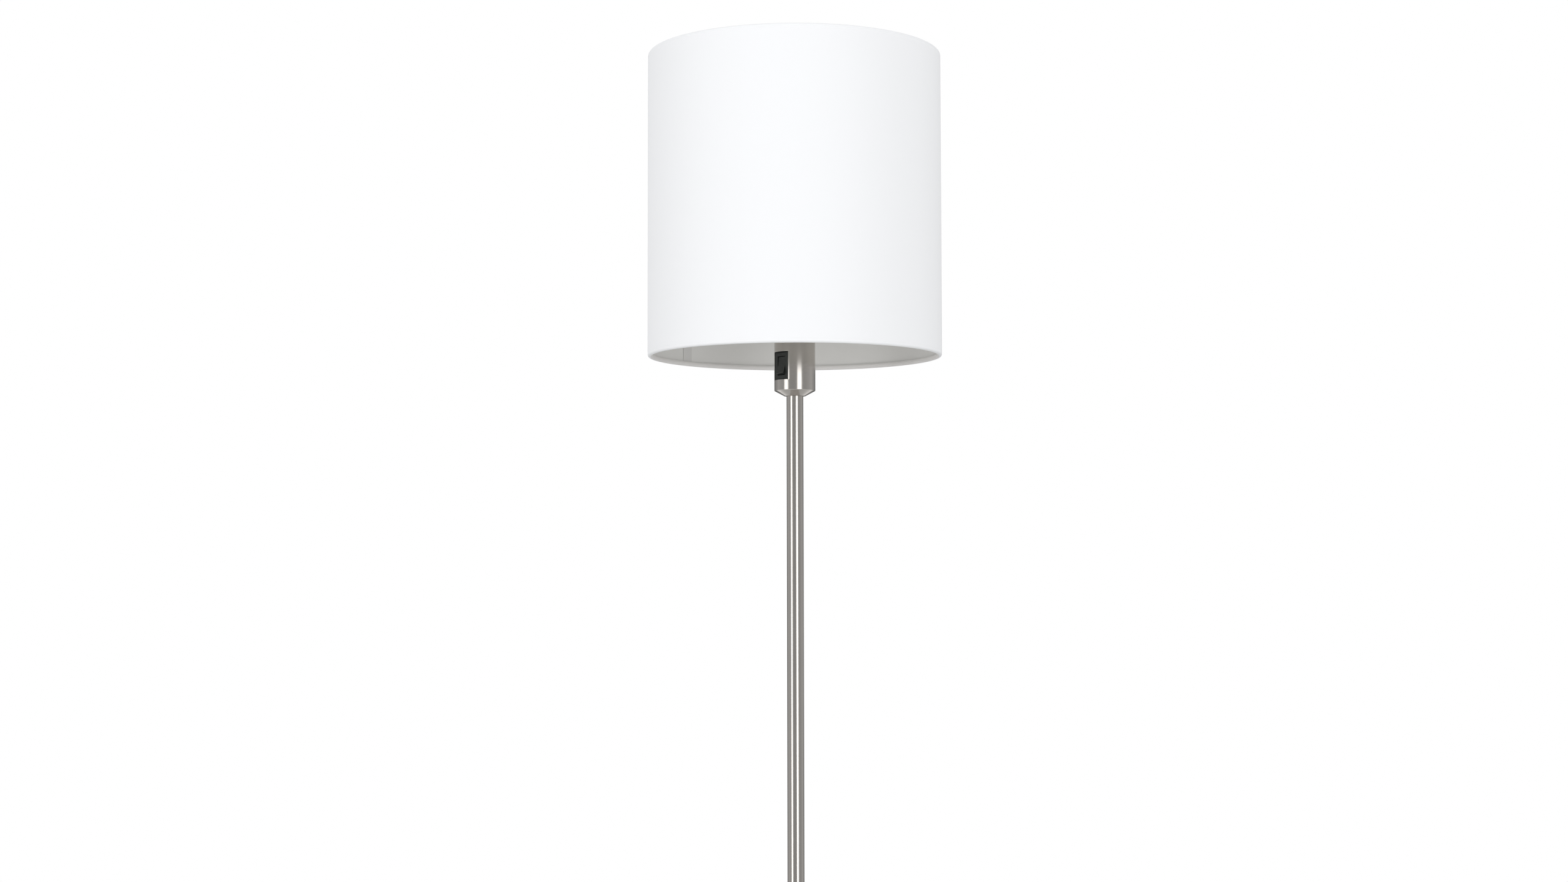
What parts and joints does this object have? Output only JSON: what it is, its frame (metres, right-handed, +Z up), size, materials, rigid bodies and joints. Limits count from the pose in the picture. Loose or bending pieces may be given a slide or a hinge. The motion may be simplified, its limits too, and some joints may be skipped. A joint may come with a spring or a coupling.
{
  "type": "floor lamp",
  "caption": "Column floor lamp with a white drum shade on a wire carrier, a metal holder cup with a rocker switch, a slim tube column and a weighted round foot.",
  "frame": {"origin": "centre of the foot's underside, on the floor and on the column's axis", "axes": "+Z up along the column, -Y towards the side that the switch faces, +Y towards the cord inlet"},
  "size_m": [0.28, 0.28, 1.5],
  "materials": {
    "satin_nickel": "satin plated, softly reflecting",
    "cast_iron": "rough casting",
    "pad": "matt, fine grain",
    "black_plastic": "moulded, fine matt grain",
    "holder_plastic": "moulded, half gloss",
    "zinc_steel": "zinc plated",
    "brass": "bare sheet",
    "fabric": "fine close weave, smooth",
    "liner": "smooth sheet behind the cloth",
    "white_wire": "white powder coat",
    "bulb_white": "opal, half matt",
    "bulb_metal": "rolled screw shell",
    "ceramic": "black glass bead",
    "lead_sheath": "smooth sheath",
    "brown_core": "smooth insulation",
    "blue_core": "smooth insulation"
  },
  "bodies": {
    "stand": {"base_pad": "pad", "base_weight": "cast_iron", "base_cover": "satin_nickel", "cord_inlet_bush": "black_plastic", "foot_nipple": "zinc_steel", "pole_lower": "satin_nickel", "pole_foot_insert": "zinc_steel", "pole_lower_insert": "zinc_steel", "pole_upper": "satin_nickel", "pole_upper_insert": "zinc_steel", "pole_head_insert": "zinc_steel", "joint_nipple": "zinc_steel", "head_nipple": "zinc_steel", "head_washer": "zinc_steel", "head_nut": "zinc_steel", "holder_cup": "satin_nickel", "cup_screws": "zinc_steel", "holder_cap": "holder_plastic", "holder_core": "holder_plastic", "holder_skirt": "holder_plastic", "terminal_screws": "brass", "centre_contact": "brass", "side_contact": "brass", "shade_seat_ring": "holder_plastic", "shade_clamp_ring": "holder_plastic", "bulb_screw_shell": "bulb_metal", "bulb_insulator": "ceramic", "bulb_button": "zinc_steel", "bulb_collar": "bulb_white", "bulb_globe": "bulb_white", "switch_case": "black_plastic", "common_terminal": "brass", "load_terminal": "brass", "inner_lead": "lead_sheath", "live_wire": "brown_core", "switched_wire": "brown_core", "neutral_wire": "blue_core"},
    "shade": {"shade_fabric": "fabric", "shade_liner": "liner", "shade_seam_strip": "liner", "shade_bottom_ring": "white_wire", "shade_top_ring": "white_wire", "shade_arms": "white_wire", "shade_carrier_ring": "white_wire"},
    "rocker": {"switch_rocker": "black_plastic", "switch_plunger": "black_plastic", "switch_spring": "zinc_steel"},
    "contact_arm": {"contact_arm": "brass"}
  },
  "joints": [
    {"name": "shade_swivel", "type": "hinge", "parent": "stand", "child": "shade", "pos_m": [0, 0, 1.26], "axis": [0, 0, 1], "continuous": true},
    {"name": "rocker_tilt", "type": "hinge", "parent": "stand", "child": "rocker", "pos_m": [0, -0.01354, 1.201], "axis": [1, 0, 0], "range_deg": [0, 22]},
    {"name": "contact_arm_tilt", "type": "hinge", "parent": "stand", "child": "contact_arm", "pos_m": [0, -0.00754, 1.201], "axis": [1, 0, 0], "range_deg": [-17.6, 0]}
  ],
  "couplings": [
    {"joint": "contact_arm_tilt", "follows": "rocker_tilt", "ratio": -0.8}
  ]
}
